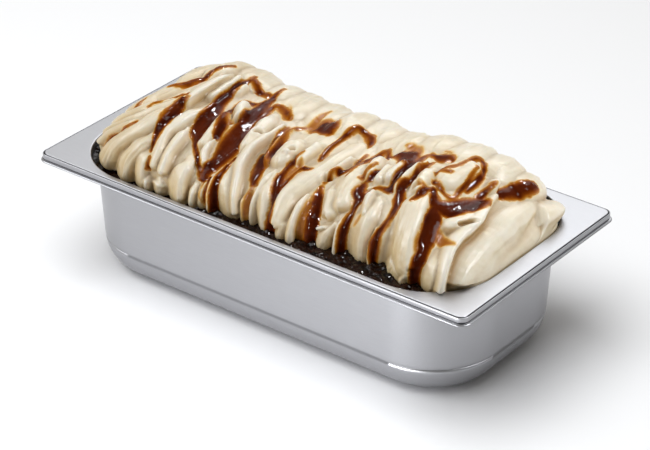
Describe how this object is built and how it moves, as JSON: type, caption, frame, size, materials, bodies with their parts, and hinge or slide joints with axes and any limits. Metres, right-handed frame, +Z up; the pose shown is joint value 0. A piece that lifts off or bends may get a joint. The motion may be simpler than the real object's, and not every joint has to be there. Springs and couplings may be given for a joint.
{
  "type": "gelato display pan filled with tiramisu gelato",
  "caption": "Steel gelato display pan heaped with pleated tiramisu gelato, caramel drizzle over the folds and dark crumbly syrup round the heap.",
  "frame": {"origin": "centre of the pan's flat base, on the surface it stands on", "axes": "+X along the pan, +Y across it towards the far side, +Z up"},
  "size_m": [0.36, 0.176, 0.1348],
  "materials": {
    "steel": "satin brushed stainless steel",
    "gelato": "soft cream-beige gelato, smooth and slightly moist",
    "caramel": "glossy amber to dark brown caramel sauce",
    "syrup": "near-black glossy crumbly syrup"
  },
  "bodies": {
    "root": {"pan": "steel", "gelato": "gelato", "syrup": "syrup"}
  },
  "joints": []
}
